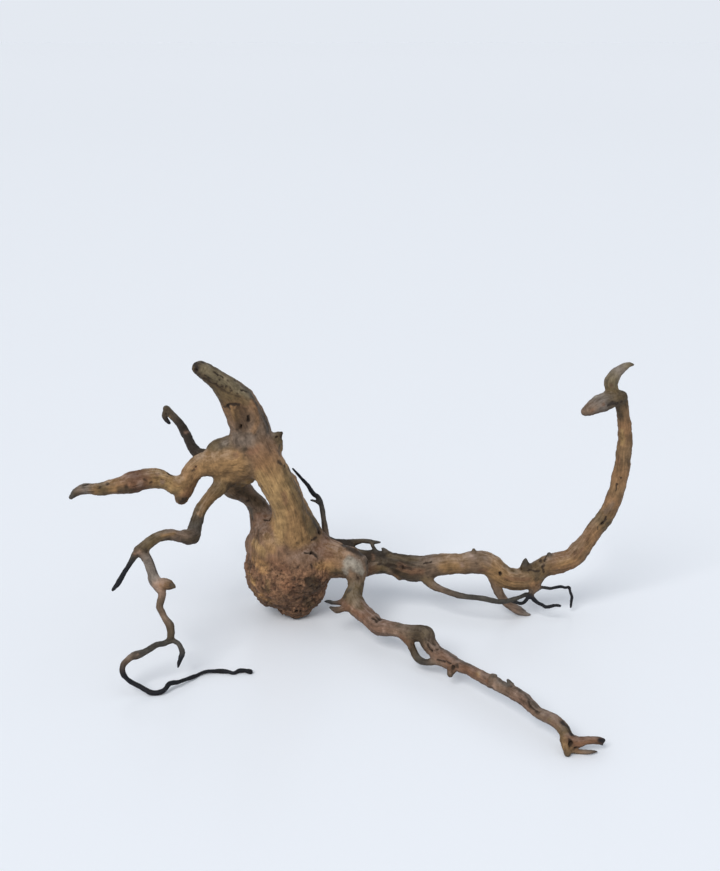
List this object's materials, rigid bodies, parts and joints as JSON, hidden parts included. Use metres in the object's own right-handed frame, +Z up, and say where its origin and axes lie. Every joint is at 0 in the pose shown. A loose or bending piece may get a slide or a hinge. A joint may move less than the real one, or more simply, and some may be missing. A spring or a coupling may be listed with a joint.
{
  "type": "dry root",
  "caption": "Weathered dry root in one piece: a round burl, a leaning broken trunk and long crooked limbs, some lying on the floor and one turned up at its end.",
  "frame": {"origin": "middle of the bounding box's underside, in the plane the root stands on", "axes": "+X towards the long limb with the upturned end, +Y to the back, +Z up"},
  "size_m": [0.5632, 0.3614, 0.2834],
  "materials": {
    "dry_wood": "bare weathered wood, matt, with grain streaks, a rough pitted burl and darker thin ends"
  },
  "bodies": {
    "root": {"dry_root": "dry_wood"}
  },
  "joints": []
}
